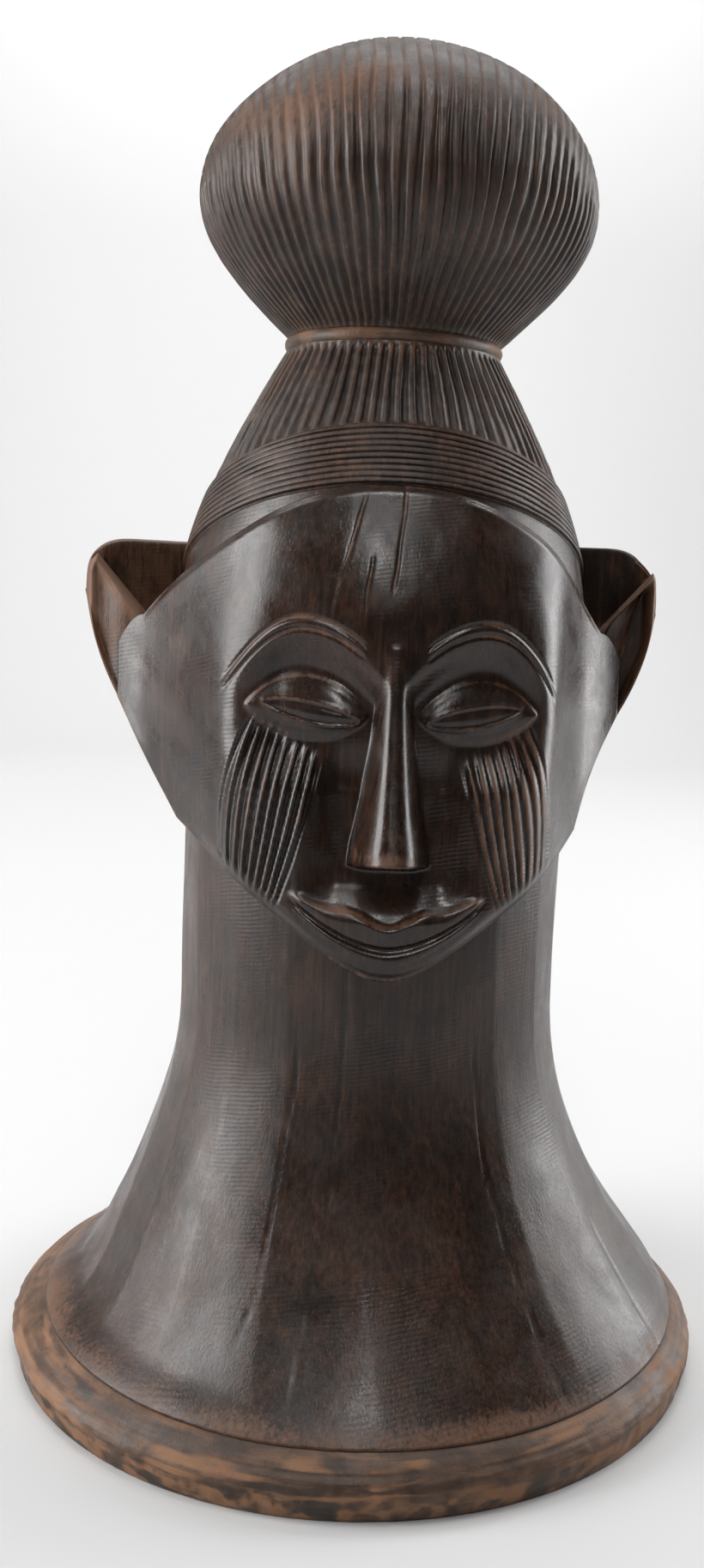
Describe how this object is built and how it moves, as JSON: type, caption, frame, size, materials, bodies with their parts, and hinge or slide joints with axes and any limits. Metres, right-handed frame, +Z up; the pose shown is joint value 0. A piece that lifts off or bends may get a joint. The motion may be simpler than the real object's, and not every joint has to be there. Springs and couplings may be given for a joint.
{
  "type": "carved wooden head figure",
  "caption": "Carved dark wooden head on a flared neck, with a fluted topknot, cupped ears and a flat standing foot.",
  "frame": {"origin": "centre of the flat standing face of the foot, at the bottom centre of the part's box", "axes": "+Z up along the neck and head, -Y the way the face looks, +X towards the carved head's own left ear"},
  "size_m": [0.219, 0.219, 0.398],
  "materials": {
    "neck_wood": "near-black brown patina over close grain, adze facets, soft sheen",
    "face_wood": "dark patina polished by handling, fine scraper ripples, glossy",
    "hair_wood": "dark patina in cut grooves, brown wear on the ridges, satin",
    "worn_wood": "patina rubbed through to light brown wood, scratched, satin"
  },
  "bodies": {
    "root": {"foot_rim": "worn_wood", "flared_neck": "neck_wood", "fluted_crown": "hair_wood", "hairline_band": "hair_wood", "tie_ring": "worn_wood", "topknot": "hair_wood", "face": "face_wood", "right_ear": "neck_wood", "left_ear": "neck_wood"}
  },
  "joints": []
}
